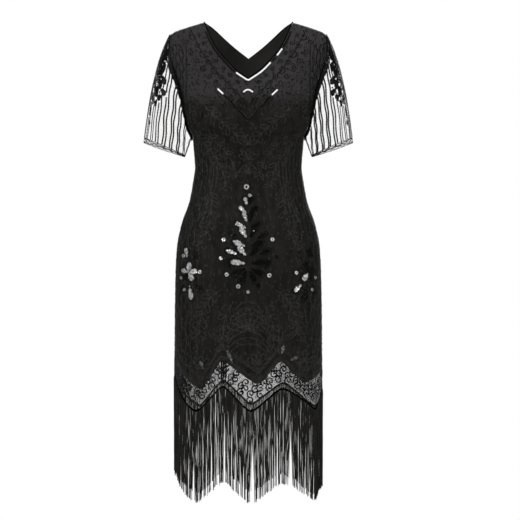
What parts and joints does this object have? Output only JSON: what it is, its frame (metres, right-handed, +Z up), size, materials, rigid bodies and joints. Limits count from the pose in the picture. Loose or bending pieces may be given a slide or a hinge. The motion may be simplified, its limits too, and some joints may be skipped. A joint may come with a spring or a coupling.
{
  "type": "flapper dress",
  "caption": "Straight-cut flapper dress of beaded net over a shorter slip, V neck, short bell sleeves, zigzag hems and a long fringe, filled out as worn.",
  "frame": {"origin": "centre line of the dress, level with the high shoulder points and in line with the shoulder seams, where a wearer's shoulders carry it", "axes": "+Z up, -Y the way the front faces, +X to the wearer's left"},
  "size_m": [0.504, 0.252, 1.1295],
  "materials": {
    "net": "sheer black net with seed beads",
    "slip": "plain black slip cloth, matt",
    "bead_trim": "close rows of glossy black beads",
    "fringe": "black twisted fringe, slight sheen"
  },
  "bodies": {
    "root": {"net_front": "net", "net_back": "net", "sleeve_left": "net", "sleeve_right": "net", "slip_front": "slip", "slip_back": "slip", "cuff_band_left": "bead_trim", "cuff_band_right": "bead_trim", "fringe_front": "fringe", "fringe_back": "fringe"}
  },
  "joints": []
}
